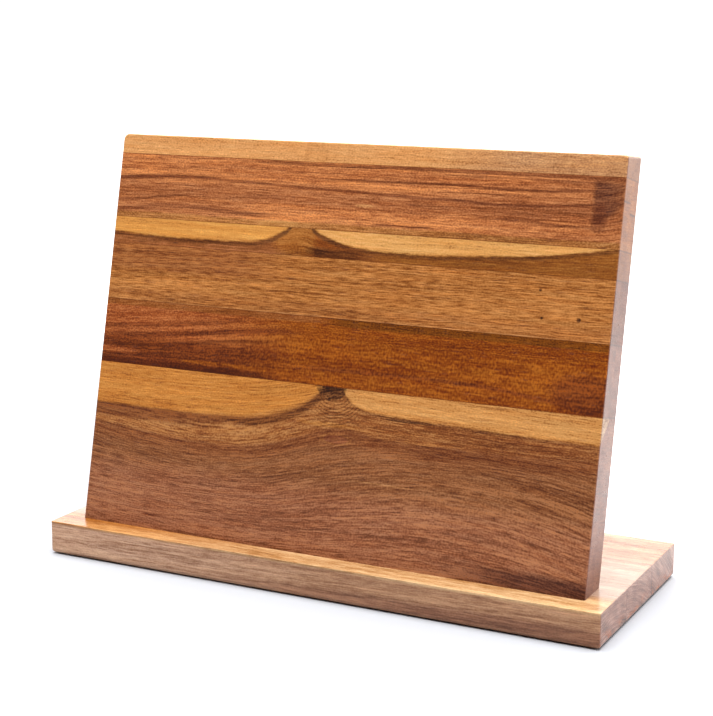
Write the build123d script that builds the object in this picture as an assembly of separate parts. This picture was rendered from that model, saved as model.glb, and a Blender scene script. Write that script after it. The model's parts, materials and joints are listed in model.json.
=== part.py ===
from build123d import *
import math
import os

# Free-standing magnetic knife stand: a laminated board that leans back on a flat base board.
# Frame: millimetres, +Z up, origin on the table under the middle of the base,
# +X along the base, and the knife face looks towards -Y.

# Base board
BASE_LENGTH = 300.0
BASE_DEPTH = 115.0
BASE_THICKNESS = 17.0
BASE_CORNER_R = 1.0          # vertical corners
BASE_TOP_EDGE_R = 0.4
BASE_BOTTOM_EDGE_R = 2.0
BASE_STAVES = (              # name, front limit and rear limit along Y
    ("base_front_stave", -57.5, -20.0),
    ("base_middle_stave", -20.0, 19.0),
    ("base_rear_stave", 19.0, 57.5),
)

# Anti-slip pads under the base
PAD_R = 8.0
PAD_THICKNESS = 1.5
PAD_STAND_PROUD = 0.5        # gap between the base board and the table
PAD_EDGE_R = 0.3
PAD_RECESS_GAP = 0.1
PAD_X = 130.0
PAD_Y = 42.0

BASE_BOTTOM_Z = PAD_STAND_PROUD
BASE_TOP_Z = BASE_BOTTOM_Z + BASE_THICKNESS

# Leaning board: two half-boards glued face to face, each made of the same six staves
LEAN = 12.5                  # degrees back from upright
BOARD_WIDTH = 276.0
BOARD_HEIGHT = 203.5         # along the slope, on the front face
HALF_THICKNESS = 10.0
FRONT_EDGE_Y = -44.5         # where the front face meets the base
BOARD_LEFT_CORNER_R = 3.0    # top corner, seen from the front
BOARD_RIGHT_CORNER_R = 1.5
BOARD_EDGE_R = 0.8
TOP_SLOPE = 6.0              # degrees from level: the top edge drops this much towards the back
STAVES = (                   # name, lower limit and upper limit along the slope
    ("bottom_stave", 0.0, 83.2),
    ("lower_stave", 83.2, 116.7),
    ("middle_stave", 116.7, 146.2),
    ("sapwood_stave", 146.2, 160.0),
    ("upper_stave", 160.0, 193.4),
    ("top_stave", 193.4, BOARD_HEIGHT),
)

# Block magnets, in pockets milled from the glued faces
MAGNET_SIZE = (30.0, 6.0, 10.0)      # width, thickness, height
MAGNET_EDGE = 0.4
MAGNET_WALL = 3.5                    # wood left between a pocket and the outer face
MAGNET_GLUE = 0.1                    # between a magnet and the floor of its pocket
MAGNETS_PER_ROW = 5
MAGNET_PITCH = 50.0
MAGNET_ROWS = (("lower_magnets", 70.0), ("middle_magnets", 124.0), ("upper_magnets", 178.0))
POCKET_SIZE = (31.5, 11.5)           # width, height
POCKET_CORNER_R = 1.5

# Fasteners between the base and the leaning board, all upright on one line
FASTENER_Y = -32.8
SCREW_X = (-90.0, 0.0, 90.0)
DOWEL_X = (-45.0, 45.0)

SCREW_R = 3.0                        # M6, plain cylinders instead of threads
SCREW_LENGTH = 25.0                  # head included
SCREW_HEAD_R = 6.0                   # 90 degree countersunk head
SCREW_TIP_CHAMFER = 0.6
SCREW_SINK = 0.5                     # head below the underside of the base
SCREW_HOLE_R = 3.3
SEAT_GAP = 0.1
HEX_ACROSS_FLATS = 4.0
HEX_DEPTH = 2.4

INSERT_LENGTH = 13.0
INSERT_BORE_R = 3.1
INSERT_BARB_R = 4.6
INSERT_ROOT_R = 4.1
INSERT_BARBS = 4
INSERT_HOLE_R = 4.7
INSERT_SINK = 0.2                    # insert's lower end above the bevel

DOWEL_R = 4.0
DOWEL_LENGTH = 30.0
DOWEL_IN_BASE = 12.0
DOWEL_CHAMFER = 0.8
DOWEL_FLUTES = 10
DOWEL_FLUTE_R = 0.35
DOWEL_HOLE_R = 4.1
DOWEL_END_GAP = 0.5

MARGIN = 5.0                         # how far cutting blocks run past what they cut

ON_TOP = (Align.CENTER, Align.CENTER, Align.MIN)
# Board frame: X along the width, Y from the front face to the back one, Z up the slope
BOARD_PLACE = Location((0, FRONT_EDGE_Y, BASE_TOP_Z), (-LEAN, 0, 0))


def block(x_range, y_range, z_range):
    """A box between two limits along each axis."""
    sizes = [high - low for low, high in (x_range, y_range, z_range)]
    middles = [(high + low) / 2 for low, high in (x_range, y_range, z_range)]
    return Pos(*middles) * Box(*sizes)


def upright(radius, low_z, high_z, x, y=FASTENER_Y):
    """An upright cylinder between two heights."""
    return Pos(x, y, low_z) * Cylinder(radius, high_z - low_z, align=ON_TOP)


# ---- Base board ----

def base_blank():
    half_x = BASE_LENGTH / 2
    half_y = BASE_DEPTH / 2
    blank = block((-half_x, half_x), (-half_y, half_y), (BASE_BOTTOM_Z, BASE_TOP_Z))
    blank = fillet(blank.faces().sort_by(Axis.Z)[0].edges(), BASE_BOTTOM_EDGE_R)
    blank = fillet(blank.edges().filter_by(Axis.Z), BASE_CORNER_R)
    return fillet(blank.faces().sort_by(Axis.Z)[-1].edges(), BASE_TOP_EDGE_R)


def countersunk_hole(x):
    """A clearance hole through the base, with a 90 degree seat at the underside."""
    mouth_r = SCREW_HEAD_R + 3 * SEAT_GAP
    seat_z = BASE_BOTTOM_Z + SCREW_SINK - 2 * SEAT_GAP
    seat_depth = mouth_r - SCREW_HOLE_R
    seat = Pos(x, FASTENER_Y, seat_z) * Cone(mouth_r, SCREW_HOLE_R, seat_depth, align=ON_TOP)
    mouth = upright(mouth_r, BASE_BOTTOM_Z - MARGIN, seat_z, x)
    shaft = upright(SCREW_HOLE_R, BASE_BOTTOM_Z, BASE_TOP_Z + MARGIN, x)
    return seat + mouth + shaft


def base_cuts():
    dowel_floor = BASE_TOP_Z - DOWEL_IN_BASE - DOWEL_END_GAP
    recess_roof = BASE_BOTTOM_Z + PAD_THICKNESS - PAD_STAND_PROUD
    cuts = [countersunk_hole(x) for x in SCREW_X]
    cuts += [upright(DOWEL_HOLE_R, dowel_floor, BASE_TOP_Z + MARGIN, x) for x in DOWEL_X]
    cuts += [
        upright(PAD_R + PAD_RECESS_GAP, BASE_BOTTOM_Z - MARGIN, recess_roof, x, y)
        for x, y in pad_places()
    ]
    return cuts


def base_staves():
    blank = base_blank() - base_cuts()
    reach = BASE_LENGTH / 2 + MARGIN
    heights = (BASE_BOTTOM_Z - MARGIN, BASE_TOP_Z + MARGIN)
    return {
        name: blank & block((-reach, reach), (front, rear), heights)
        for name, front, rear in BASE_STAVES
    }


# ---- Leaning board ----

def board_blank():
    """The whole leaning board in the row frame, bevelled to stand flat on the base."""
    half = BOARD_WIDTH / 2
    thickness = 2 * HALF_THICKNESS
    rise = thickness * math.tan(math.radians(LEAN - TOP_SLOPE))
    profile = Plane.YZ * make_face(Polyline(
        (0, -MARGIN), (thickness, -MARGIN), (thickness, BOARD_HEIGHT + rise), (0, BOARD_HEIGHT),
        close=True,
    ))
    blank = extrude(profile, half, both=True)
    for end, radius in ((0, BOARD_LEFT_CORNER_R), (-1, BOARD_RIGHT_CORNER_R)):
        top = blank.faces().sort_by(Axis.Z)[-1]
        blank = fillet(top.edges().sort_by(Axis.X)[end], radius)
    for side in (0, -1):
        face = blank.faces().sort_by(Axis.Y)[side]
        blank = fillet(face.edges().sort_by(Axis.Z)[1:], BOARD_EDGE_R)
    below = block(
        (-BOARD_WIDTH, BOARD_WIDTH),
        (FRONT_EDGE_Y - BASE_DEPTH, FRONT_EDGE_Y + BASE_DEPTH),
        (BASE_BOTTOM_Z - MARGIN * 2, BASE_TOP_Z),
    )
    return BOARD_PLACE * blank - below


def magnet_x():
    first = -MAGNET_PITCH * (MAGNETS_PER_ROW - 1) / 2
    return [first + MAGNET_PITCH * place for place in range(MAGNETS_PER_ROW)]


def pocket_row(slope_height, depths):
    """The milled pockets of one row, between two depths in the board frame."""
    outline = RectangleRounded(*POCKET_SIZE, POCKET_CORNER_R)
    depth = depths[1] - depths[0]
    pocket = Rot(-90, 0, 0) * extrude(outline, depth)
    return [BOARD_PLACE * Pos(x, depths[0], slope_height) * pocket for x in magnet_x()]


def board_cuts():
    """The holes in the bevelled foot of the board for the inserts and dowels."""
    insert_roof = BASE_TOP_Z + INSERT_SINK + INSERT_LENGTH + DOWEL_END_GAP
    dowel_roof = BASE_TOP_Z - DOWEL_IN_BASE + DOWEL_LENGTH + DOWEL_END_GAP
    cuts = [upright(INSERT_HOLE_R, BASE_BOTTOM_Z, insert_roof, x) for x in SCREW_X]
    cuts += [upright(DOWEL_HOLE_R, BASE_BOTTOM_Z, dowel_roof, x) for x in DOWEL_X]
    return cuts


def board_staves():
    blank = board_blank() - board_cuts()
    reach = BOARD_WIDTH / 2 + MARGIN
    middle = HALF_THICKNESS
    thickness = 2 * HALF_THICKNESS
    halves = (
        ("front", (-MARGIN, middle), (MAGNET_WALL, middle)),
        ("back", (middle, thickness + MARGIN), (middle, thickness - MAGNET_WALL)),
    )
    staves = {}
    for side, depths, pocket_depths in halves:
        for name, low, high in STAVES:
            bottom = low - MARGIN if low == 0 else low
            top = high + MARGIN if high == BOARD_HEIGHT else high
            stave = blank & (BOARD_PLACE * block((-reach, reach), depths, (bottom, top)))
            for _, row_height in MAGNET_ROWS:
                if low < row_height < high:
                    stave = stave - pocket_row(row_height, pocket_depths)
            staves[f"{side}_{name}"] = stave
    return staves


# ---- Hardware ----

def magnet_rows():
    magnet = chamfer(Box(*MAGNET_SIZE).edges(), MAGNET_EDGE)
    front_depth = MAGNET_WALL + MAGNET_GLUE + MAGNET_SIZE[1] / 2
    depths = {"front": front_depth, "back": 2 * HALF_THICKNESS - front_depth}
    return {
        f"{side}_{name}": [BOARD_PLACE * Pos(x, depth, height) * magnet for x in magnet_x()]
        for side, depth in depths.items()
        for name, height in MAGNET_ROWS
    }


def screw(x):
    """A countersunk screw pointing up, with a hexagon socket in its head."""
    head_z = BASE_BOTTOM_Z + SCREW_SINK
    taper = SCREW_HEAD_R - SCREW_R
    head = Cone(SCREW_HEAD_R, SCREW_R, taper, align=ON_TOP)
    shank = Cylinder(SCREW_R, SCREW_LENGTH, align=ON_TOP)
    shank = chamfer(shank.edges().sort_by(Axis.Z)[-1], SCREW_TIP_CHAMFER)
    socket = extrude(RegularPolygon(HEX_ACROSS_FLATS / 2, 6, major_radius=False), HEX_DEPTH)
    return Pos(x, FASTENER_Y, head_z) * (head + shank - socket)


def threaded_insert(x):
    """A barbed insert for the screw, pressed into the foot of the board."""
    step = INSERT_LENGTH / INSERT_BARBS
    outline = [(INSERT_BORE_R, 0), (INSERT_ROOT_R, 0)]
    for barb in range(INSERT_BARBS):
        outline.append((INSERT_BARB_R, step * (barb + 0.3)))
        outline.append((INSERT_ROOT_R, step * (barb + 1)))
    outline.append((INSERT_BORE_R, INSERT_LENGTH))
    profile = Plane.XZ * make_face(Polyline(*outline, close=True))
    return Pos(x, FASTENER_Y, BASE_TOP_Z + INSERT_SINK) * revolve(profile, Axis.Z)


def dowel(x):
    """A fluted dowel that keeps the board from turning on the base."""
    pin = Cylinder(DOWEL_R, DOWEL_LENGTH, align=ON_TOP)
    pin = chamfer(pin.edges().filter_by(GeomType.CIRCLE), DOWEL_CHAMFER)
    flute = Cylinder(DOWEL_FLUTE_R, DOWEL_LENGTH, align=ON_TOP)
    pin = pin - [place * flute for place in PolarLocations(DOWEL_R, DOWEL_FLUTES)]
    return Pos(x, FASTENER_Y, BASE_TOP_Z - DOWEL_IN_BASE) * pin


def pad_places():
    return [(x, y) for x in (-PAD_X, PAD_X) for y in (-PAD_Y, PAD_Y)]


def pad(x, y):
    disc = Cylinder(PAD_R, PAD_THICKNESS, align=ON_TOP)
    disc = fillet(disc.edges().filter_by(GeomType.CIRCLE).sort_by(Axis.Z)[0], PAD_EDGE_R)
    return Pos(x, y, 0) * disc


# ---- Nodes ----

nodes = {}
nodes.update(base_staves())
nodes.update(board_staves())
nodes.update(magnet_rows())
nodes["assembly_screws"] = [screw(x) for x in SCREW_X]
nodes["threaded_inserts"] = [threaded_insert(x) for x in SCREW_X]
nodes["locating_dowels"] = [dowel(x) for x in DOWEL_X]
nodes["anti_slip_pads"] = [pad(x, y) for x, y in pad_places()]

os.makedirs("parts", exist_ok=True)
for node, shape in nodes.items():
    if isinstance(shape, list):
        shape = Compound(children=shape)
    export_step(shape, f"parts/{node}.step")
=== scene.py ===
import json
import math

import bmesh
import bpy
from mathutils import Matrix, Vector


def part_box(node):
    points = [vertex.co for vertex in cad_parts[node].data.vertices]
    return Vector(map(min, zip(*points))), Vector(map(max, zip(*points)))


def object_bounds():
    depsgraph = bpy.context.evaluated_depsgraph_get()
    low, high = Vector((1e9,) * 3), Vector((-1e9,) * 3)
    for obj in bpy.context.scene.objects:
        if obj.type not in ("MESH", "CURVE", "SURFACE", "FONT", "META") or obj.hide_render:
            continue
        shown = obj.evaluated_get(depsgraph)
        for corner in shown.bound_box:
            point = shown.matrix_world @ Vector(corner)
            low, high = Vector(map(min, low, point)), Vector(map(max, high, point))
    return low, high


MM = 0.001

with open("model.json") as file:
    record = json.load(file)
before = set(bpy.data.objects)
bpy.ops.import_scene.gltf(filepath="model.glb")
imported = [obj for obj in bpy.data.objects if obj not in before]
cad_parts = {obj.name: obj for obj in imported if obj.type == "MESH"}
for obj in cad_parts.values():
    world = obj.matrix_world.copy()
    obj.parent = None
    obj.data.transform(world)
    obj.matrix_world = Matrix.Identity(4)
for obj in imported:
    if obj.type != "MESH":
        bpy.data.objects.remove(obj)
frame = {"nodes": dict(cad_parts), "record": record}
cad_box = [list(corner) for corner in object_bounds()]


# ---------------------------------------------------------------- where the board stands

def mount(name):
    return next(item for item in frame["record"]["mounts"] if item["name"] == name)


FACE_AXIS = mount("front_knife_face")["axis"]
LEAN = math.atan2(FACE_AXIS[2], -FACE_AXIS[1])
BOARD_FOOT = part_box("front_bottom_stave")[0]  # its lowest corner is the foot of the front face
BOARD_LEFT, FRONT_Y, BASE_TOP = BOARD_FOOT
BOARD_LENGTH = -2 * BOARD_LEFT / MM
BOARD_THICKNESS = 20.0
PAST_EDGE = 9.0  # puts a limit that is no joint clear of the wood
KNOT_X, KNOT_S = 139.0, 84.0  # the knot that parts the bottom stave's sapwood
GAP_X = 111.0  # where the sapwood stave's gold is parted
LIMB_X = 262.0  # where the upper stave's dark patch starts
PITH_DEPTH = 85.0  # how far below the table the heart of the base's tree lay
BACK_SHIFT = 30.0  # how far the back half's figure is moved along, so that it isn't the front's
BASE_LEFT = cad_box[0][0]
PROFILE_LENGTH, PROFILE_HEIGHT = 300.0, 210.0  # the area that the curves in the wood are drawn over

# Where the staves of the base meet, in mm from its middle line. The outer limits lie clear of the wood.
BASE_FRONT_JOINT, BASE_REAR_JOINT = (corner[1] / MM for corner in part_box("base_middle_stave"))
BASE_JOINTS = {
    "front": (-99.0, BASE_FRONT_JOINT),
    "middle": (BASE_FRONT_JOINT, BASE_REAR_JOINT),
    "rear": (BASE_REAR_JOINT, 99.0),
}

# Where the staves meet, in mm up the board's front face from its foot.
STAVE_LIMITS = {
    "bottom": (0.0, 83.2),
    "lower": (83.2, 116.7),
    "middle": (116.7, 146.2),
    "sapwood": (146.2, 160.0),
    "upper": (160.0, 193.4),
    "top": (193.4, 203.5),
}


# ---------------------------------------------------------------- node trees written as sums

class Field:
    """A number or a colour in a node tree. Arithmetic on it adds the Math nodes that work it out."""

    def __init__(self, graph, socket):
        self.graph = graph
        self.socket = socket

    def __add__(self, other):
        return self.graph.math("ADD", self, other)

    __radd__ = __add__

    def __sub__(self, other):
        return self.graph.math("SUBTRACT", self, other)

    def __rsub__(self, other):
        return self.graph.math("SUBTRACT", other, self)

    def __mul__(self, other):
        return self.graph.math("MULTIPLY", self, other)

    __rmul__ = __mul__

    def __truediv__(self, other):
        return self.graph.math("DIVIDE", self, other)

    def __abs__(self):
        return self.graph.math("ABSOLUTE", self)


class Graph:
    """A node tree, and short ways to add each kind of node to it."""

    def __init__(self, tree):
        self.tree = tree

    def add(self, kind, **settings):
        node = self.tree.nodes.new(kind)
        for key, value in settings.items():
            setattr(node, key, value)
        return node

    def feed(self, socket, value):
        """Joins a field to a socket, or sets a plain number or colour on the socket itself."""
        if isinstance(value, Field):
            self.tree.links.new(value.socket, socket)
        else:
            socket.default_value = value

    def math(self, operation, *values):
        node = self.add("ShaderNodeMath", operation=operation)
        for socket, value in zip(node.inputs, values):
            self.feed(socket, value)
        return Field(self, node.outputs[0])

    def least(self, a, b):
        return self.math("MINIMUM", a, b)

    def most(self, a, b):
        return self.math("MAXIMUM", a, b)

    def length(self, a, b):
        return self.math("SQRT", a * a + b * b)

    def smooth(self, value, low, high):
        """0 below low, 1 above high, with a soft step between. With low above high it falls instead."""
        node = self.add("ShaderNodeMapRange", interpolation_type="SMOOTHSTEP")
        self.feed(node.inputs["Value"], value)
        self.feed(node.inputs["From Min"], low)
        self.feed(node.inputs["From Max"], high)
        return Field(self, node.outputs["Result"])

    def vector(self, x, y, z):
        node = self.add("ShaderNodeCombineXYZ")
        for socket, value in zip(node.inputs, (x, y, z)):
            self.feed(socket, value)
        return Field(self, node.outputs[0])

    def noise(self, x, y, z, detail=0.0, roughness=0.5):
        """Smooth noise between about -1 and 1, with features about one unit across."""
        node = self.add("ShaderNodeTexNoise")
        self.feed(node.inputs["Vector"], self.vector(x, y, z))
        node.inputs["Scale"].default_value = 1.0
        node.inputs["Detail"].default_value = detail
        node.inputs["Roughness"].default_value = roughness
        return Field(self, node.outputs["Fac"]) * 2.0 - 1.0

    def cells(self, x, y, z):
        """Scattered points one unit apart: the distance to the nearest, and a random number for it."""
        node = self.add("ShaderNodeTexVoronoi")
        self.feed(node.inputs["Vector"], self.vector(x, y, z))
        node.inputs["Scale"].default_value = 1.0
        chance = self.add("ShaderNodeSeparateColor")
        self.tree.links.new(node.outputs["Color"], chance.inputs[0])
        return Field(self, node.outputs["Distance"]), Field(self, chance.outputs[0])

    def curve(self, value, points, x_span, y_span):
        """A smooth curve through points, drawn over x_span, with heights between 0 and y_span."""
        node = self.add("ShaderNodeFloatCurve")
        line = node.mapping.curves[0]
        while len(line.points) < len(points):
            line.points.new(0.5, 0.5)
        for knot, (x, y) in zip(line.points, points):
            knot.location = (x / x_span, y / y_span)
        node.mapping.update()
        self.feed(node.inputs["Value"], value / x_span)
        return Field(self, node.outputs[0]) * y_span

    def ramp(self, value, stops):
        node = self.add("ShaderNodeValToRGB")
        elements = node.color_ramp.elements
        while len(elements) < len(stops):
            elements.new(0.5)
        for element, (position, colour) in zip(elements, stops):
            element.position = position
            element.color = colour
        self.feed(node.inputs[0], value)
        return Field(self, node.outputs["Color"])

    def blend(self, under, over, amount, mode="MIX"):
        node = self.add("ShaderNodeMix", data_type="RGBA", blend_type=mode)
        self.feed(node.inputs["Factor"], amount)
        self.feed(node.inputs["A"], under)
        self.feed(node.inputs["B"], over)
        return Field(self, node.outputs["Result"])

    def object_place(self, location=(0, 0, 0), rotation=(0, 0, 0)):
        """The point's place in mm in a frame that stands at location, turned by rotation."""
        place = self.add("ShaderNodeTexCoord")
        turned = self.add("ShaderNodeMapping", vector_type="TEXTURE")
        turned.inputs["Location"].default_value = location
        turned.inputs["Rotation"].default_value = rotation
        turned.inputs["Scale"].default_value = (MM, MM, MM)
        self.tree.links.new(place.outputs["Object"], turned.inputs["Vector"])
        axes = self.add("ShaderNodeSeparateXYZ")
        self.tree.links.new(turned.outputs[0], axes.inputs[0])
        return [Field(self, axes.outputs[i]) for i in range(3)]

    def facing(self, axis):
        """How squarely the surface faces along an axis of the object, from 0 to 1."""
        place = self.add("ShaderNodeTexCoord")
        axes = self.add("ShaderNodeSeparateXYZ")
        self.tree.links.new(place.outputs["Normal"], axes.inputs[0])
        return abs(Field(self, axes.outputs[axis]))


class Material(Graph):
    """The node tree of one new material."""

    def __init__(self, name):
        self.material = bpy.data.materials.new(name)
        self.material.use_nodes = True
        super().__init__(self.material.node_tree)
        self.surface = self.tree.nodes["Principled BSDF"]

    def bump(self, height, depth):
        """Relief on the shader: height is a field of about 0 to 1, and 1 stands for depth, in mm."""
        node = self.add("ShaderNodeBump")
        node.inputs["Strength"].default_value = 1.0
        node.inputs["Distance"].default_value = depth * MM
        self.feed(node.inputs["Height"], height)
        self.tree.links.new(node.outputs[0], self.surface.inputs["Normal"])

    def finish(self, **inputs):
        for name, value in inputs.items():
            self.feed(self.surface.inputs[name.replace("_", " ")], value)
        return self.material


def tint(red, green, blue):
    """An 8-bit sRGB colour in the linear form that sockets take."""
    def linear(value):
        value = value / 255
        return value / 12.92 if value <= 0.04045 else ((value + 0.055) / 1.055) ** 2.4
    return (linear(red), linear(green), linear(blue), 1.0)


def palette(dark, mid, light):
    """Colour ramp stops for a grain tone: the dark lines, the body of the wood and the pale flecks,
    and beyond them the deepest pores and the brightest fibres."""
    dark, mid, light = tint(*dark), tint(*mid), tint(*light)
    deepest = tuple(share * value for share, value in zip((0.62, 0.54, 0.45), dark)) + (1.0,)
    brightest = tuple(1.25 * value for value in light[:3]) + (1.0,)
    return (0.0, deepest), (0.25, dark), (0.5, mid), (0.75, light), (1.0, brightest)


# ---------------------------------------------------------------- the palettes of the woods

GOLD_LEFT = palette((191, 129, 63), (204, 141, 71), (210, 152, 80))
GOLD_RIGHT = palette((197, 142, 81), (212, 157, 91), (221, 168, 109))
HONEY_LEFT = palette((176, 111, 47), (184, 121, 55), (192, 130, 64))
HONEY_RIGHT = palette((185, 128, 70), (192, 137, 78), (199, 145, 86))
TOP_LEFT = palette((194, 135, 81), (209, 151, 96), (218, 161, 106))
TOP_RIGHT = palette((165, 116, 79), (186, 135, 94), (202, 152, 105))
UPPER_ORANGE = palette((159, 92, 53), (187, 118, 71), (211, 138, 83))
UPPER_BROWN = palette((129, 72, 39), (155, 92, 57), (176, 116, 76))
UPPER_DUSK = palette((86, 44, 28), (104, 60, 41), (130, 80, 54))
UPPER_TAN = palette((126, 75, 33), (152, 98, 50), (176, 122, 72))
UPPER_LINE = palette((86, 40, 20), (104, 52, 30), (128, 70, 42))
HEART_LEFT = palette((123, 70, 34), (141, 84, 45), (164, 103, 64))
HEART_RIGHT = palette((128, 73, 27), (144, 89, 36), (161, 104, 52))
HEART_GAP = palette((124, 67, 21), (152, 93, 40), (171, 113, 58))
HEART_DARK = palette((110, 48, 7), (132, 65, 16), (165, 88, 26))
MIDDLE_TAN = palette((140, 83, 35), (165, 106, 54), (184, 124, 69))
MIDDLE_RED = palette((121, 65, 30), (143, 85, 45), (161, 102, 57))
LOWER_ORANGE = palette((111, 47, 2), (133, 66, 9), (155, 87, 24))
LOWER_ROSE = palette((131, 63, 26), (153, 83, 41), (176, 105, 60))
LOWER_PLUM = palette((76, 30, 7), (98, 43, 16), (124, 59, 24))
LOWER_NIGHT = palette((60, 19, 2), (71, 25, 3), (87, 37, 12))
LOWER_TAN = palette((119, 63, 21), (135, 76, 32), (152, 94, 51))
LOWER_STRIP = palette((91, 44, 2), (113, 60, 8), (131, 74, 19))
OUTLINE = palette((89, 42, 17), (104, 54, 26), (122, 69, 37))
FAWN = palette((126, 71, 31), (149, 93, 51), (169, 117, 69))
UMBER = palette((102, 50, 20), (120, 68, 35), (140, 86, 50))
MAUVE = palette((111, 63, 33), (129, 80, 47), (147, 97, 63))
RIM = palette((82, 43, 17), (102, 57, 25), (128, 78, 40))
MAUVE_EYE = palette((112, 56, 34), (126, 68, 42), (142, 82, 54))
MAUVE_LOW = palette((126, 75, 48), (145, 91, 64), (161, 109, 77))
FOOT_DARK = palette((60, 27, 16), (78, 40, 27), (99, 57, 42))
EDGE_DARK = palette((58, 32, 15), (82, 48, 25), (106, 66, 38))
KNOT = palette((38, 14, 4), (60, 29, 12), (106, 64, 36))
END_GREY = palette((86, 47, 31), (102, 58, 40), (118, 72, 52))
END_FOOT = palette((92, 50, 33), (110, 62, 42), (128, 80, 58))
END_RED = palette((74, 36, 21), (89, 45, 29), (104, 56, 38))
END_DARK = palette((92, 48, 22), (108, 60, 28), (126, 76, 36))
END_SAP = palette((138, 104, 70), (152, 119, 84), (166, 134, 98))
END_WARM = palette((106, 57, 16), (128, 72, 20), (148, 90, 30))
BASE_TAN = palette((127, 84, 57), (158, 114, 84), (184, 141, 109))
BASE_PALE = palette((154, 112, 86), (189, 149, 124), (212, 174, 148))
BASE_DARK = palette((108, 67, 46), (136, 91, 67), (160, 114, 87))
BASE_GOLD = palette((135, 85, 42), (158, 107, 60), (178, 129, 78))
BASE_STRAW = palette((155, 114, 73), (179, 142, 103), (199, 165, 126))
PAINTED_BOARD_REFLECTION = palette((118, 63, 16), (141, 83, 28), (160, 102, 47))
BASE_END = palette((112, 78, 65), (140, 101, 86), (170, 131, 115))
BASE_CREAM = palette((153, 125, 109), (165, 136, 120), (178, 149, 133))
BASE_RUST = palette((140, 76, 46), (168, 98, 62), (188, 120, 84))
BEECH = palette((176, 134, 98), (198, 158, 120), (214, 178, 142))

PORE_SHADE = (0.62, 0.52, 0.42, 1.0)
FIGURE_SHADE = (0.88, 0.84, 0.80, 1.0)
CURL_SHADE = (0.76, 0.68, 0.62, 1.0)
GLUE_SHADE = (0.55, 0.45, 0.40, 1.0)
FLECK_SHADE = (0.62, 0.50, 0.42, 1.0)
DUST = (0.10, 0.095, 0.09, 1.0)
HUE_DRIFT = ((0.0, (1.0, 0.86, 0.66, 1.0)), (1.0, (0.97, 1.0, 1.0, 1.0)))


# ---------------------------------------------------------------- the staves of the board

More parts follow.
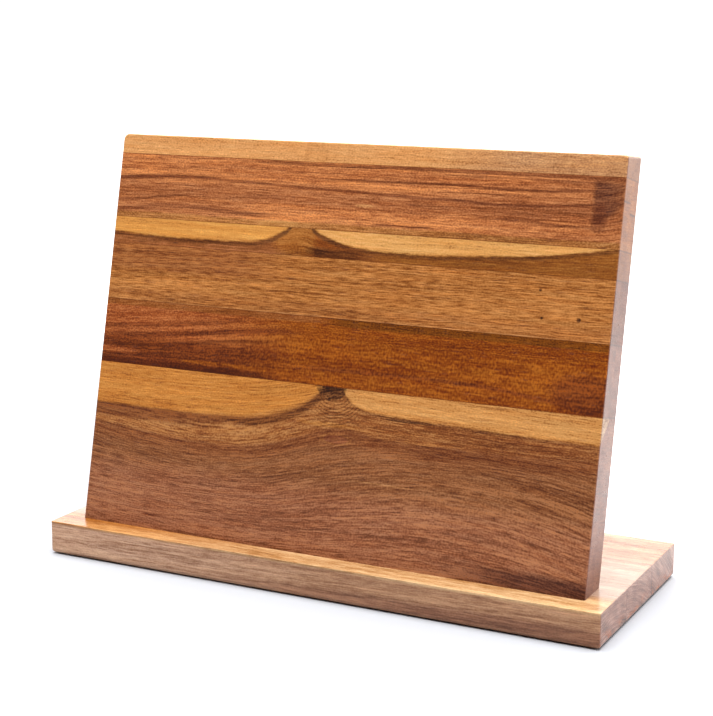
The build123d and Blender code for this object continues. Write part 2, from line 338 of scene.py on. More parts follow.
class Wood:
    """One piece's wood in the making: where a point lies in it, its grain, and its colour so far.

    x runs along the piece from its left end, s up its face, and depth in from that face, all in mm.
    """

    def __init__(self, x, depth, s, limits, seed, back=False):
        self.graph = x.graph
        self.x = x
        self.depth = depth
        self.plain_s = s  # and self.s is the same height with the wander of the grain in it
        self.joint_place = s  # the place that limits are measured in
        self.limits = limits
        self.seed = seed
        self.back = back
        wander = 0.7 * self.graph.noise(x / 50, s / 16, depth / 20 + seed, detail=1.0)
        self.s = s + wander + 0.2 * self.graph.noise(x / 9, s / 2.5, depth / 4 + seed)
        self.grain = self.s
        self.colour = None

    def set_tone(self, drift, streak, line, fibre, speckle):
        """Works out the light and dark of the grain about 0.5: wide drifts, long streaks, fine lines,
        short dark dashes where the vessels open, and the speckle of single fibres."""
        graph, x, g, h, seed = self.graph, self.x, self.grain, self.depth, self.seed
        self.tone = (
            0.5
            + drift * graph.noise(x / 150, g / 8, h / 12 + seed)
            + streak * graph.noise(x / 75, g / 2.6, h / 5 + seed, detail=1.0)
            + line * graph.noise(x / 26, g / 0.95, h / 2 + seed, detail=1.0)
            + fibre * graph.noise(x / 7, g / 0.6, h / 0.9 + seed, detail=1.0)
            + speckle * graph.noise(x, g / 0.75, h / 0.8 + seed)
        )

    def profile(self, *points):
        """The height up the board of a curve along it, through the given (x, s) points."""
        return self.graph.curve(self.x, points, PROFILE_LENGTH, PROFILE_HEIGHT)

    def along(self, start, end, soft):
        """1 between two places along the board, with soft ends. None leaves that end open."""
        mask = 1.0
        if start is not None:
            mask = self.graph.smooth(self.x, start - soft / 2, start + soft / 2) * mask
        if end is not None:
            mask = self.graph.smooth(self.x, end + soft / 2, end - soft / 2) * mask
        return mask

    def between(self, low, high, soft):
        """1 between two heights up the board, with soft edges."""
        rise = self.graph.smooth(self.s, low - soft / 2, low + soft / 2)
        return rise * self.graph.smooth(self.s, high + soft / 2, high - soft / 2)

    def stripe(self, height, half_width, soft):
        """1 within half_width of a line that runs along the board, fading over soft."""
        return self.graph.smooth(abs(self.s - height), half_width + soft, half_width)

    def dab(self, x, s, length, width, soft=0.5):
        """1 inside an oval spot, fading from its edge over soft times its size."""
        across = (self.x - x) / (length / 2)
        up = (self.plain_s - s) / (width / 2)
        return self.graph.smooth(self.graph.length(across, up), 1 + soft, 1.0)

    def on_end(self):
        """1 on the end grain, where the surface faces along the piece."""
        return self.graph.smooth(self.graph.facing(0), 0.6, 0.9)

    def paint(self, stops, mask=None):
        shade = self.graph.ramp(self.tone, stops)
        self.colour = shade if mask is None else self.graph.blend(self.colour, shade, mask)

    def shade(self, colour, mask):
        self.colour = self.graph.blend(self.colour, colour, mask, "MULTIPLY")

    def pores(self, length, width, share):
        """Short dark vessels along the grain: 1 in a pore. share is how many of the places hold one."""
        distance, chance = self.graph.cells(
            self.x / length, self.grain / width + self.seed, self.depth / width)
        spot = self.graph.smooth(distance, 0.34, 0.14)
        return spot * self.graph.smooth(chance, 1.0 - share - 0.15, 1.0 - share + 0.15)

    def ripple(self, mask, pitch, colour=FIGURE_SHADE):
        """The bars of curly figure across the grain, where mask allows."""
        graph = self.graph
        bars = graph.noise(self.x / pitch, self.s / 13 + self.seed, self.depth / 9, detail=1.0)
        self.shade(colour, graph.smooth(bars, -0.15, 0.45) * mask)

    def finish(self, pores, end, own_end=0.0, end_mark=0.0, hue=0.8, roughness=0.33):
        """Adds what all the staves share. pores are their strength, length, width and share. end is the
        palette of the end grain and how strongly it shows the rings. own_end is 1 where a mark runs
        through to the end in its own colour, and end_mark is 1 where a dark line does. hue is how much
        the colour drifts between red and grey."""
        graph = self.graph
        strength, length, width, share = pores
        pits = self.pores(length, width, share)
        self.shade(PORE_SHADE, pits * strength)
        drift = graph.noise(self.x / 30, self.grain / 2.2, self.depth / 6 - self.seed, detail=2.0)
        self.shade(graph.ramp(0.5 + hue * drift, HUE_DRIFT), 1.0)
        across = self.on_end()
        rings = graph.noise(self.grain / 0.8, self.depth / 14, self.seed, detail=1.0)
        cloud = graph.noise(self.grain / 7, self.depth / 9, self.seed + 5.0)
        end_stops, ring_weight = end
        end_colour = graph.ramp(0.5 + ring_weight * rings + 0.35 * cloud, end_stops)
        self.colour = graph.blend(self.colour, end_colour, across * (0.88 - 0.65 * own_end))
        low, high = self.limits
        to_joint = graph.least(self.joint_place - low, high - self.joint_place)
        seam = graph.smooth(to_joint, 0.30 + 0.4 * across, 0.05)
        self.shade(GLUE_SHADE, graph.most(seam, across * end_mark))
        relief = 1.0 - pits + 0.15 * graph.noise(self.x / 3, self.grain / 0.25, self.depth / 0.3)
        graph.bump(relief * (1.0 - 0.9 * across), 0.05)
        return graph.finish(
            Base_Color=self.colour,
            Roughness=roughness + 0.15 * pits - 0.10 * (self.tone - 0.5),
            Specular_IOR_Level=0.35 - 0.05 * across,
        )


def board_wood(name, back):
    """The wood of one stave of the board."""
    graph = Material(("back_" if back else "front_") + name + "_acacia")
    x, depth, s = graph.object_place((BOARD_LEFT, FRONT_Y, BASE_TOP), (-LEAN, 0, 0))
    if back:  # the back half is turned end for end, so that its own face is its depth of 0
        x = BOARD_LENGTH - BACK_SHIFT - x
        depth = BOARD_THICKNESS - depth
    seed = 40.0 * list(STAVE_LIMITS).index(name) + (17.0 if back else 0.0)
    low, high = STAVE_LIMITS[name]
    if name == "bottom":  # the foot and the top edge of the board aren't glued joints
        low = low - PAST_EDGE
    if name == "top":
        high = high + PAST_EDGE
    return Wood(x, depth, s, (low, high), seed, back)


def base_stave(name, joints, pith, seed):
    """Mid brown with fine dark dashes. Painted haze makes it paler to the left, painted shade darker low
    on the front edge, and painted light from above paler on the top, over its own golden colour. Its
    growth rings centre on a line at y = pith, PITH_DEPTH below the table."""
    graph = Material("base_" + name + "_acacia")
    x, y, z = graph.object_place((BASE_LEFT, 0, 0))
    wood = Wood(x, y, z, joints, seed)
    wood.joint_place = y
    wood.grain = graph.length(y - pith, wood.s + PITH_DEPTH) - 0.012 * x
    wood.depth = y + 0.2 * z
    wood.set_tone(0.25, 0.35, 0.35, 0.4, 0.15)
    wood.paint(BASE_TAN)
    # Painted haze: paler to the left, where the front catches more reflected light at a more glancing
    # angle.
    wood.paint(BASE_PALE, graph.smooth(x, 190, 20))
    # Painted shade: darker low down and more so to the right, standing in for the shade near the floor.
    painted_low_shade = graph.smooth(wood.s - 2.0 - 0.022 * x, 2.5, -1.5)
    wood.paint(BASE_DARK, painted_low_shade * graph.smooth(x, 20, 180))
    # Painted light in part: the top and the top edge of the sides are painted paler and golder, partly
    # the wood's own colour and partly light from above.
    top = graph.smooth(wood.s, 15.5, 17.2)
    gold = top * graph.smooth(y, -34, -43)
    wood.paint(BASE_CREAM, top * graph.smooth(y, 30, 0))
    wood.paint(BASE_GOLD, gold)
    wood.paint(BASE_STRAW, gold * graph.smooth(x, 10, 160))
    # Painted reflection: a deep orange glow from the board on the top strip just in front of its foot, at
    # the left.
    wood.paint(PAINTED_BOARD_REFLECTION, gold * graph.smooth(y, -51, -45) * graph.smooth(x, 150, 40) * 0.75)
    rust = graph.smooth(graph.noise(wood.depth / 8, z / 4, seed), -0.05, 0.35)
    rust = rust * graph.smooth(z, 10.0, 3.0) * wood.on_end()
    wood.paint(BASE_RUST, rust)
    return wood.finish((0.2, 10.0, 0.9, 0.4), (BASE_END, 0.6), rust * 0.8, hue=0.3, roughness=0.22)


def top_stave(stave):
    """Pale golden tan with small dark flecks."""
    stave.set_tone(0.2, 0.25, 0.25, 0.55, 0.45)
    stave.paint(TOP_LEFT)
    stave.paint(TOP_RIGHT, stave.along(200, None, 60))
    stave.ripple(stave.along(104, 134, 12), 4.0)
    stave.ripple(stave.along(244, 256, 10), 3.0)
    return stave.finish((0.4, 9.0, 0.9, 0.35), (END_DARK, 0.3))


def upper_stave(stave):
    """Orange brown with long dark streaks, and a dusky patch where a limb grew at the right."""
    graph = stave.graph
    ragged = 1.5 * graph.noise(stave.x / 4, stave.s / 4, stave.seed, detail=1.0)
    past_limb = graph.most(stave.x - LIMB_X, 0.0)
    limb = graph.smooth(stave.x + ragged, LIMB_X - 2.0, LIMB_X + 1.5)
    limb = limb * graph.smooth(stave.s - 0.8 * past_limb + ragged, 166.5, 171)
    limb = limb * graph.smooth(stave.plain_s, 193, 189) * graph.smooth(stave.x, 290, 266)
    stave.grain = stave.s - 0.012 * past_limb * past_limb
    stave.set_tone(0.25, 0.3, 0.5, 0.55, 0.4)
    stave.paint(UPPER_ORANGE)
    stave.paint(UPPER_BROWN, stave.between(171, 181, 6) * 0.8)
    stave.paint(UPPER_BROWN, stave.along(225, None, 70) * 0.7)
    stave.paint(UPPER_ORANGE, stave.between(165.5, 171, 3) * stave.along(90, LIMB_X, 20) * 0.9)
    stave.paint(UPPER_BROWN, stave.between(163, 170, 3) * stave.along(None, 80, 50) * 0.8)
    hairs = graph.noise(stave.x / 90, stave.grain / 1.1, stave.depth / 6 + 3.0, detail=1.0)
    stave.paint(UPPER_LINE, graph.smooth(hairs, 0.18, 0.5) * 0.6)
    main = stave.profile(
        (0, 180.3), (20, 181.9), (50, 182.5), (70, 181.6), (100, 180.6), (150, 179.2),
        (196, 178.3), (220, 177.2), (240, 178.3), (264, 180.2), (276, 182.5))
    broad = stave.along(None, 58, 16)
    stave.paint(UPPER_LINE, stave.stripe(main, 0.3, 0.8) * 0.8)
    stave.paint(UPPER_LINE, stave.stripe(main, 0.6, 1.2) * broad * 0.7)
    wavy = stave.profile(
        (0, 185), (170, 185.3), (196, 185.6), (215, 184.8), (235, 184.9), (262, 186.3), (276, 187))
    stave.paint(UPPER_LINE, stave.stripe(wavy, 0.2, 0.8) * stave.along(125, LIMB_X, 25) * 0.8)
    stave.paint(UPPER_LINE, stave.stripe(192.3, 0.5, 0.9) * stave.along(85, None, 40) * 0.7)
    stave.paint(UPPER_LINE, stave.stripe(190.2, 0.1, 0.6) * stave.along(180, LIMB_X, 20) * 0.6)
    stave.paint(UPPER_LINE, stave.stripe(164.2, 0.1, 0.7) * stave.along(150, 182, 6) * 0.9)
    rising = stave.profile(
        (0, 163.5), (12, 165.3), (28, 167.2), (48, 167), (70, 165.8), (90, 165), (276, 162))
    stave.paint(UPPER_LINE, stave.stripe(rising, 0.4, 1.2) * stave.along(None, 90, 20) * 0.65)
    rising = stave.profile((0, 168.5), (15, 170), (38, 172.8), (60, 173.5), (276, 174))
    stave.paint(UPPER_LINE, stave.stripe(rising, 0.2, 0.8) * stave.along(None, 42, 16) * 0.6)
    wavy = stave.profile((0, 170), (180, 170), (225, 170.5), (250, 169.3), (264, 170), (276, 171))
    stave.paint(UPPER_LINE, stave.stripe(wavy, 0.2, 0.8) * stave.along(205, LIMB_X, 30) * 0.6)
    stave.paint(UPPER_TAN, stave.between(158, 163, 1.5) * 0.9)
    stave.paint(HONEY_RIGHT, stave.between(160.2, 163, 1) * stave.along(87, 109, 4) * 0.6)
    stave.paint(UPPER_DUSK, limb)
    stave.paint(UPPER_LINE, stave.dab(265, 174, 5, 9, 1.0) * 0.6)
    stave.paint(TOP_LEFT, stave.dab(145, 173, 8, 1.2, 0.5) * 0.6)
    stave.ripple(stave.between(160, 166, 3) * stave.along(100, None, 40) * 0.7, 3.0)
    return stave.finish((0.35, 9.0, 0.8, 0.4), (END_WARM, 0.4), end_mark=stave.stripe(main, 0.2, 0.6))


def sapwood_stave(stave):
    """Gold sapwood above brown heartwood, with dark edges where they meet, and a gap below a knot."""
    graph, x = stave.graph, stave.x
    edge = stave.profile(
        (0, 152), (75, 151.3), (90, 153), (98, 156.2), (105, 161), (109, 168), (114, 168), (118, 161),
        (127, 156.2), (140, 152.8), (160, 151.2), (220, 153.4), (250, 156.5), (276, 160.4))
    ragged = 0.8 * graph.noise(x / 3, stave.s / 1.2, stave.seed, detail=2.0)
    above = stave.s - edge - stave.depth + ragged
    near_gap = graph.smooth(abs(x - GAP_X), 34.0, 12.0)
    stave.grain = stave.s - 0.15 * (edge - 152.0)
    stave.set_tone(0.25, 0.35, 0.35, 0.5, 0.3)
    stave.paint(HEART_LEFT)
    stave.paint(HEART_RIGHT, stave.along(150, None, 30))
    stave.paint(HEART_GAP, stave.dab(GAP_X, 155, 22, 14, 0.8))
    shadow = graph.smooth(x + 3.0 * ragged, 117, 122) * graph.smooth(x + 4.0 * ragged, 156, 138)
    shadow = shadow * graph.smooth(above, -0.5, -1.5)
    stave.paint(HEART_DARK, shadow * 0.95)
    stave.paint(EDGE_DARK, shadow * (0.3 + 0.4 * graph.smooth(stave.s + ragged, 152.5, 149)))
    stave.paint(KNOT, stave.dab(121, 149.3, 9, 3, 0.9) * 0.5)
    stave.paint(HEART_DARK, graph.smooth(above, -3.2, -0.6) * 0.5)
    rim = 1.1 + 0.3 * near_gap
    on_rim = graph.smooth(abs(above + rim) / rim, 1.6, 0.3)
    stave.paint(EDGE_DARK, on_rim * (0.6 + 0.25 * near_gap))
    gold = graph.smooth(above, -0.8, 1.0)
    stave.paint(GOLD_LEFT, gold)
    stave.paint(GOLD_RIGHT, gold * stave.along(118, None, 10))
    return stave.finish((0.25, 8.0, 0.9, 0.3), (END_DARK, 0.3))


def middle_stave(stave):
    """Tan brown, with fine dark dashes all over."""
    stave.grain = stave.s - 0.01 * stave.x
    stave.set_tone(0.25, 0.35, 0.4, 0.95, 0.3)
    stave.paint(MIDDLE_TAN)
    stave.paint(MIDDLE_RED, stave.between(133, 150, 6) * stave.along(None, 92, 50) * 0.9)
    stave.paint(MIDDLE_RED, stave.between(116, 123, 3) * 0.35)
    # Painted highlight: a thin pale line along the stave's lower edge, where that edge catches the light.
    stave.paint(TOP_LEFT, stave.graph.smooth(stave.plain_s, 117.5, 116.9) * 0.45)
    for x, s, size in ((260, 126.5, 1.6), (242, 126, 1.0), (240, 139, 1.1)):
        stave.paint(KNOT, stave.dab(x, s, size, size, 0.6) * 0.9)
    return stave.finish((0.45, 14.0, 0.8, 0.45), (END_RED, 0.3))


def lower_stave(stave):
    """Dark red brown, streaked and curly at the left, smooth orange brown in the middle."""
    graph = stave.graph
    lift = graph.least(graph.most(stave.s - 84.0, 0.0) / 22.0, 1.0)
    stave.grain = stave.s - 0.1 * lift * graph.least(stave.x, 105.0)
    stave.set_tone(0.3, 0.25, 0.35, 0.55, 0.5)
    left = stave.along(None, 85, 80)
    stave.paint(LOWER_ORANGE)
    stave.paint(LOWER_ROSE, left * stave.between(96, 118, 8))
    stave.paint(LOWER_PLUM, stave.between(82, 98, 6) * stave.along(None, 96, 50) * 0.85)
    rising = stave.profile((0, 102), (30, 104.5), (60, 108), (90, 112), (276, 120))
    stave.paint(LOWER_PLUM, stave.stripe(rising, 0.3, 1.6) * stave.along(None, 88, 40) * 0.7)
    rising = stave.profile((0, 97), (20, 98.5), (60, 103), (90, 106.5), (120, 108), (276, 108))
    stave.paint(LOWER_PLUM, stave.stripe(rising, 0.5, 2.0) * stave.along(6, 112, 30) * 0.85)
    rising = stave.profile((0, 92.8), (30, 94), (60, 98), (90, 101), (120, 103), (276, 104))
    stave.paint(LOWER_NIGHT, stave.stripe(rising, 0.4, 1.3) * stave.along(4, 100, 30) * 0.6)
    stave.paint(LOWER_NIGHT, stave.between(82, 86.3, 0.9) * stave.along(None, 96, 40) * 0.95)
    stave.paint(LOWER_PLUM, stave.dab(28, 87.5, 34, 2.6, 0.6) * 0.7)
    stave.paint(LOWER_ROSE, stave.dab(6, 90.3, 24, 2.2, 0.6) * 0.8)
    stave.paint(LOWER_ORANGE, stave.dab(86, 87.8, 60, 1.6, 0.7) * 0.8)
    arc = stave.profile((0, 84), (110, 90.5), (150, 91.5), (220, 91), (245, 88.5), (276, 84))
    stave.paint(LOWER_PLUM, stave.stripe(arc, 0.3, 1.3) * stave.along(118, 262, 40) * 0.75)
    stave.paint(LOWER_PLUM, stave.dab(268, 93, 26, 12, 0.9) * 0.75)
    stave.paint(LOWER_TAN, stave.between(113.5, 118, 1.2) * stave.along(None, 128, 20))
    stave.paint(LOWER_STRIP, stave.between(113, 118, 0.9) * stave.along(134, None, 16))
    curly = stave.between(82, 104, 8) * stave.along(32, 112, 30)
    stave.ripple(curly, 2.0, CURL_SHADE)
    stave.ripple(stave.along(120, None, 40) * 0.35, 4.0)
    return stave.finish((0.3, 7.0, 0.9, 0.35), (END_GREY, 0.3), hue=0.7)


def bottom_stave(stave):
    """Two lobes of gold sapwood that part at a knot, over mauve-brown heartwood that bows round it."""
    graph, x = stave.graph, stave.x
    edge = stave.profile(
        (0, 62), (50, 61.8), (80, 63), (100, 65), (112, 68.5), (122, 73), (132, 81),
        (139, 87), (146, 79.5), (153, 75), (165, 73.3), (200, 71.7), (276, 70.5))
    band = stave.profile(
        (0, 52), (50, 48), (85, 48.5), (105, 51), (122, 56.5), (135, 61.5), (148, 63),
        (165, 60.5), (210, 60), (276, 62.5))
    swell = stave.profile(
        (0, 52), (50, 48), (85, 48.5), (105, 51), (122, 54.5),
        (140, 57.5), (160, 59.5), (185, 61), (276, 61))
    soft_edge = stave.profile(
        (0, 62), (60, 62), (95, 64), (120, 68.5), (140, 73), (160, 73), (200, 71.7), (276, 70.5))
    if stave.back:  # this half's sapwood runs out before the end of the board
        edge = edge + 26.0 * graph.smooth(x, 25, -25)
    near = graph.smooth(stave.s, 50, 66)
    far = graph.smooth(stave.s, 2, 50)
    flow = stave.profile((0, 20), (100, 18), (140, 21), (180, 25), (230, 24), (276, 17))
    bow = near * (soft_edge - 66.0) + (1.0 - near) * (far * (swell - 53.0) + 0.8 * (flow - 21.0))
    stave.grain = stave.s - bow
    knot_r = graph.length(x - KNOT_X, stave.plain_s - KNOT_S)
    ragged = 0.6 * graph.noise(x / 3, stave.s / 1.2, stave.seed, detail=1.0)
    above = stave.s - edge - 1.2 * stave.depth + ragged
    stave.set_tone(0.35, 0.4, 0.6, 0.8, 0.45)
    stave.paint(MAUVE)
    stave.paint(MAUVE_LOW, stave.between(-9, 32, 16))
    stave.paint(FOOT_DARK, stave.between(-2, 8, 5) * stave.along(215, None, 60) * 0.9)
    stave.paint(UMBER, graph.smooth(abs(stave.s - band + 2.5), 7.0, 0.5) * 0.8)
    fawn = graph.smooth(stave.s - band, -0.8, 2.0)
    stave.paint(FAWN, fawn)
    left = stave.along(None, 142, 12)
    stave.paint(OUTLINE, graph.smooth(abs(above + 1.5), 3.4, 0.6) * left * 0.9)
    rim = 1.3 + 1.6 * stave.along(85, None, 30)
    on_rim = graph.smooth(abs(above + rim) / rim, 1.2, 0.2)
    stave.paint(RIM, on_rim * left * stave.along(60, None, 60) * 0.85)
    stave.paint(EDGE_DARK, graph.smooth(abs(above + 1.0), 1.4, 0.2) * stave.along(140, None, 8) * 0.35)
    stave.paint(EDGE_DARK, stave.dab(179, 70.6, 15, 0.8, 0.8) * 0.7)
    stave.paint(UMBER, stave.between(60, 69, 5) * stave.along(210, None, 40) * 0.5)
    stave.paint(OUTLINE, stave.stripe(56.8, 0.6, 2.0) * stave.along(None, 62, 40) * 0.8)
    stave.paint(HONEY_LEFT, stave.dab(137, 64.5, 22, 1.6, 0.9) * 0.45)
    waver = 2.0 * graph.noise(x / 9, stave.s / 5, stave.seed)
    rings = graph.math("SINE", knot_r * 4.0 + waver)
    around = graph.smooth(knot_r, 25.0, 15.0) * graph.smooth(above, 0.0, -2.0)
    around = around * stave.along(128, None, 14)
    stave.paint(RIM, graph.smooth(rings, 0.0, 0.8) * around * 0.85)
    eye = graph.length((x - 142.0) / 3.2, stave.plain_s - 57.8)
    stave.paint(MAUVE_EYE, graph.smooth(eye, 2.6, 1.6) * 0.6)
    rings = graph.math("SINE", eye * 3.4 + waver)
    stave.paint(UMBER, graph.smooth(rings, 0.2, 1.0) * graph.smooth(eye, 7.0, 3.5) * 0.7)
    stave.paint(FAWN, graph.smooth(abs(eye - 2.5), 0.45, 0.1) * 0.5)
    blur = 1.0 + 1.2 * stave.along(96, 128, 20)
    gold = graph.smooth(above / blur, -1.0, 1.3)
    stave.paint(HONEY_LEFT, gold)
    stave.paint(HONEY_RIGHT, gold * stave.along(140, None, 10))
    stave.paint(END_SAP, gold * stave.on_end())
    knot = graph.length(x - KNOT_X + 1.5, 1.15 * (stave.plain_s - KNOT_S + 0.4))
    knot = knot + 2.6 * graph.noise(x / 1.6, stave.s / 1.8, stave.seed, detail=1.0)
    mottle = 0.8 + 0.5 * graph.noise(x / 1.5, stave.s / 1.2, stave.seed)
    stave.paint(KNOT, graph.smooth(knot, 9.3, 6.8) * mottle)
    stave.paint(TOP_LEFT, stave.dab(169, 39, 22, 0.5, 0.8) * 0.3)
    stave.paint(LOWER_PLUM, stave.dab(40, 7, 7, 0.9, 0.9) * 0.8)
    return stave.finish((0.35, 10.0, 0.8, 0.45), (END_FOOT, 0.4), gold)


# ---------------------------------------------------------------- the other materials

def magnet_nickel():
    """Nickel plate: bright, with the slight orange peel of a plated face and a few handling scratches."""
    graph = Material("nickel_plate")
    x, y, z = graph.object_place()
    peel = graph.noise(x / 0.6, y / 0.6, z / 0.6, detail=2.0)
    scratches = graph.smooth(abs(graph.noise(x / 6, y / 0.3, z / 0.3)), 0.04, 0.0)
    graph.bump(0.5 + 0.5 * peel - 0.6 * scratches, 0.01)
    shades = ((0.1, (0.50, 0.48, 0.45, 1.0)), (0.9, (0.66, 0.64, 0.60, 1.0)))
    colour = graph.ramp(0.5 + 0.5 * peel, shades)
    return graph.finish(Base_Color=colour, Metallic=1.0, Roughness=0.26 + 0.10 * peel + 0.2 * scratches)


def screw_steel():
    """Zinc-plated steel, a little dull, with the swirl of turning."""
    graph = Material("zinc_plated_steel")
    x, y, z = graph.object_place()
    cloud = graph.noise(x / 1.5, y / 1.5, z / 1.5, detail=3.0)
    turning = graph.noise(x / 2, y / 2, z / 0.12)
    graph.bump(0.5 + 0.5 * turning, 0.01)
    shades = ((0.1, (0.34, 0.34, 0.35, 1.0)), (0.9, (0.52, 0.52, 0.54, 1.0)))
    colour = graph.ramp(0.5 + 0.5 * cloud, shades)
    return graph.finish(Base_Color=colour, Metallic=1.0, Roughness=0.38 + 0.12 * cloud)


def insert_brass():
    """Turned brass, dulled in places."""
    graph = Material("turned_brass")
    x, y, z = graph.object_place()
    cloud = graph.noise(x / 2, y / 2, z / 2, detail=3.0)
    graph.bump(0.5 + 0.5 * graph.noise(x / 2, y / 2, z / 0.15), 0.01)
    shades = ((0.1, (0.52, 0.34, 0.12, 1.0)), (0.9, (0.74, 0.53, 0.22, 1.0)))
    colour = graph.ramp(0.5 + 0.5 * cloud, shades)
    return graph.finish(Base_Color=colour, Metallic=1.0, Roughness=0.34 + 0.14 * cloud)


def dowel_beech():
    """Pale pink-brown beech, its grain along the dowel, with short dark ray flecks."""
    graph = Material("beech")
    x, y, z = graph.object_place()
    grain = graph.noise(x / 0.9, y / 0.9, z / 18, detail=2.0)
    distance, chance = graph.cells(x / 0.7, y / 0.7, z / 3)
    fleck = graph.smooth(distance, 0.3, 0.1) * graph.smooth(chance, 0.5, 0.7)
    colour = graph.ramp(0.5 + 0.7 * grain, BEECH)
    colour = graph.blend(colour, FLECK_SHADE, fleck * 0.7, "MULTIPLY")
    graph.bump(0.5 + 0.3 * grain - 0.3 * fleck, 0.03)
    return graph.finish(Base_Color=colour, Roughness=0.6 + 0.1 * grain)


def pad_rubber():
    """Dark moulded rubber with a fine matt grain and a trace of dust."""
    graph = Material("pad_rubber")
    x, y, z = graph.object_place()
    grain = graph.noise(x / 0.25, y / 0.25, z / 0.25, detail=2.0)
    dust = graph.smooth(graph.noise(x / 5, y / 5, z / 5, detail=3.0), 0.0, 0.6)
    shades = ((0.2, (0.012, 0.012, 0.013, 1.0)), (0.8, (0.03, 0.03, 0.031, 1.0)))
    colour = graph.blend(graph.ramp(0.5 + 0.4 * grain, shades), DUST, dust * 0.35)
    graph.bump(0.5 + 0.5 * grain, 0.04)
    return graph.finish(Base_Color=colour, Roughness=0.72 + 0.12 * dust)


def dress(node_name, material):
    mesh = frame["nodes"][node_name].data
    mesh.materials.clear()
    mesh.materials.append(material)


# ---------------------------------------------------------------- the studio

ROOM_STRENGTH = 0.08
SKY_STRENGTH = 1.5
SWEEP_STRENGTH = 3.0
BACKDROP_STRENGTH = 1.1  # what the camera sees behind the object
OVERHEAD_STRENGTH = 6.7
OVERHEAD_WIDTH, OVERHEAD_TILT = math.radians(60), math.radians(6)
WHITE = (1.0, 1.0, 1.0, 1.0)
FLOOR_RADIUS = 6.0
# The floor's colours hold painted light: bluish grey in front, bright behind, dimmer far off.
FLOOR_FRONT = (0.41, 0.42, 0.445, 1.0)
FLOOR_PAINTED_BRIGHT_BEHIND = (0.94, 0.94, 0.94, 1.0)
FLOOR_FAR = (0.62, 0.62, 0.62, 1.0)
CAMERA_PLACE = (0.37805, -0.7563, 0.28369)
CAMERA_AZIMUTH, CAMERA_ELEVATION = math.radians(27.213), math.radians(10.083)
CAMERA_ROLL = math.radians(0.136)
SENSOR_WIDTH, FOCAL_LENGTH = 36.0, 86.24  # mm
SHIFT_X, SHIFT_Y = 0.0252, -0.0682


def aim_camera():
    """The camera: a longish lens, left of the front, a little above the board."""
    forward = Vector((
        -math.sin(CAMERA_AZIMUTH) * math.cos(CAMERA_ELEVATION),
        math.cos(CAMERA_AZIMUTH) * math.cos(CAMERA_ELEVATION),
        -math.sin(CAMERA_ELEVATION),
    ))
    right = forward.cross(Vector((0, 0, 1))).normalized()
    up = right.cross(forward)
    right_rolled = right * math.cos(CAMERA_ROLL) + up * math.sin(CAMERA_ROLL)
    up_rolled = up * math.cos(CAMERA_ROLL) - right * math.sin(CAMERA_ROLL)
    turn = Matrix((right_rolled, up_rolled, -forward)).transposed().to_4x4()
    data = bpy.data.cameras.new("camera")
    data.sensor_width = SENSOR_WIDTH
    data.lens = FOCAL_LENGTH
    data.shift_x = SHIFT_X
    data.shift_y = SHIFT_Y
    camera = bpy.data.objects.new("camera", data)
    camera.matrix_world = Matrix.Translation(CAMERA_PLACE) @ turn
    bpy.context.scene.collection.objects.link(camera)
    bpy.context.scene.camera = camera


def studio_world():
    """A white sweep: very bright low down behind, soft overhead, and dim in front like a dark room."""
    world = bpy.data.worlds.new("studio")
    bpy.context.scene.world = world
    world.use_nodes = True
    graph = Graph(world.node_tree)
    graph.tree.nodes.clear()
    place = graph.add("ShaderNodeTexCoord")
    axes = graph.add("ShaderNodeSeparateXYZ")
    graph.tree.links.new(place.outputs["Generated"], axes.inputs[0])
    toward_back = Field(graph, axes.outputs["Y"])
    height = Field(graph, axes.outputs["Z"])
    sweep = SKY_STRENGTH + (SWEEP_STRENGTH - SKY_STRENGTH) * graph.smooth(height, 0.55, 0.25)
    strength = ROOM_STRENGTH + (sweep - ROOM_STRENGTH) * graph.smooth(toward_back, -0.30, 0.35)
    seen = graph.add("ShaderNodeMix")
    graph.tree.links.new(graph.add("ShaderNodeLightPath").outputs["Is Camera Ray"], seen.inputs["Factor"])
    graph.feed(seen.inputs["A"], strength)
    seen.inputs["B"].default_value = BACKDROP_STRENGTH
    glow = graph.add("ShaderNodeBackground")
    glow.inputs["Color"].default_value = WHITE
    graph.tree.links.new(seen.outputs["Result"], glow.inputs["Strength"])
    out = graph.add("ShaderNodeOutputWorld")
    graph.tree.links.new(glow.outputs[0], out.inputs["Surface"])


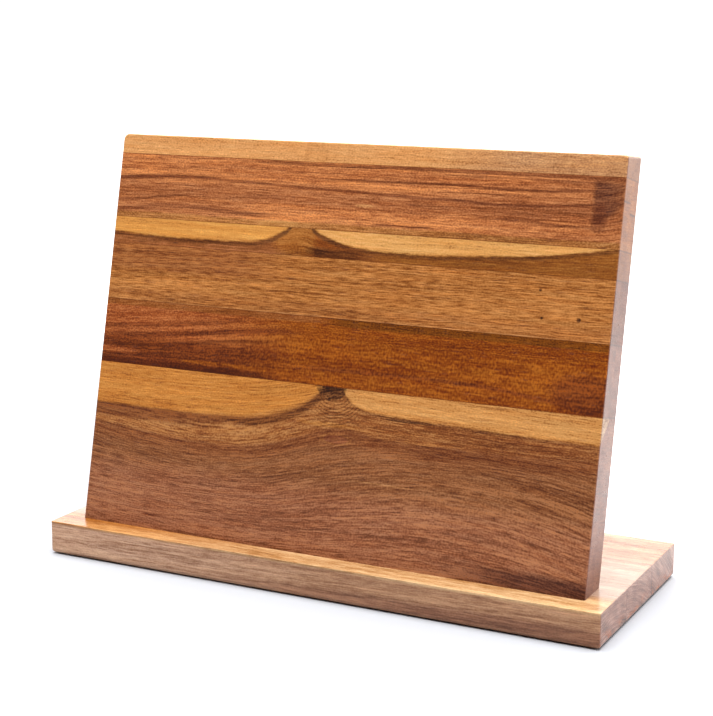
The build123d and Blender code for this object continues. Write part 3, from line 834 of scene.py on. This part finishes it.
def overhead_light():
    """A wide soft light high over the object, a touch to the front."""
    light = bpy.data.lights.new("overhead", "SUN")
    light.angle = OVERHEAD_WIDTH
    light.energy = OVERHEAD_STRENGTH
    lamp = bpy.data.objects.new("overhead", light)
    lamp.rotation_euler = (OVERHEAD_TILT, 0, 0)
    lamp.visible_glossy = False
    bpy.context.scene.collection.objects.link(lamp)


def studio_floor():
    """A matt floor with painted light: darker and faintly blue to the front, where its shade shows, and
    brighter behind, where the white sweep also lights it.
    """
    mesh = bpy.data.meshes.new("floor")
    disc = bmesh.new()
    bmesh.ops.create_circle(disc, cap_ends=True, radius=FLOOR_RADIUS, segments=64)
    disc.to_mesh(mesh)
    disc.free()
    floor = bpy.data.objects.new("floor", mesh)
    bpy.context.scene.collection.objects.link(floor)
    graph = Material("floor")
    graph.surface.inputs["Specular IOR Level"].default_value = 0.0
    x, y, z = graph.object_place()
    # Painted light: the floor's colour brightens behind and dims again far off, as if lit that way.
    behind = graph.smooth(y + 0.5 * x, 95, 270)
    colour = graph.blend(FLOOR_FRONT, FLOOR_PAINTED_BRIGHT_BEHIND, behind)
    colour = graph.blend(colour, FLOOR_FAR, graph.smooth(y, 350, 1200))
    mesh.materials.append(graph.finish(Base_Color=colour, Roughness=1.0))


aim_camera()
bpy.context.scene.view_settings.view_transform = "Standard"
studio_world()
overhead_light()
studio_floor()

STAVE_MAKERS = {
    "bottom": bottom_stave,
    "lower": lower_stave,
    "middle": middle_stave,
    "sapwood": sapwood_stave,
    "upper": upper_stave,
    "top": top_stave,
}
for half, back in (("front", False), ("back", True)):
    for stave_name, make in STAVE_MAKERS.items():
        dress(f"{half}_{stave_name}_stave", make(board_wood(stave_name, back)))
for name, pith, seed in (("front", -48.0, 300.0), ("middle", -36.0, 340.0), ("rear", -34.0, 380.0)):
    dress(f"base_{name}_stave", base_stave(name, BASE_JOINTS[name], pith, seed))
nickel = magnet_nickel()
for row in ("lower", "middle", "upper"):
    for half in ("front", "back"):
        dress(f"{half}_{row}_magnets", nickel)
dress("assembly_screws", screw_steel())
dress("threaded_inserts", insert_brass())
dress("locating_dowels", dowel_beech())
dress("anti_slip_pads", pad_rubber())
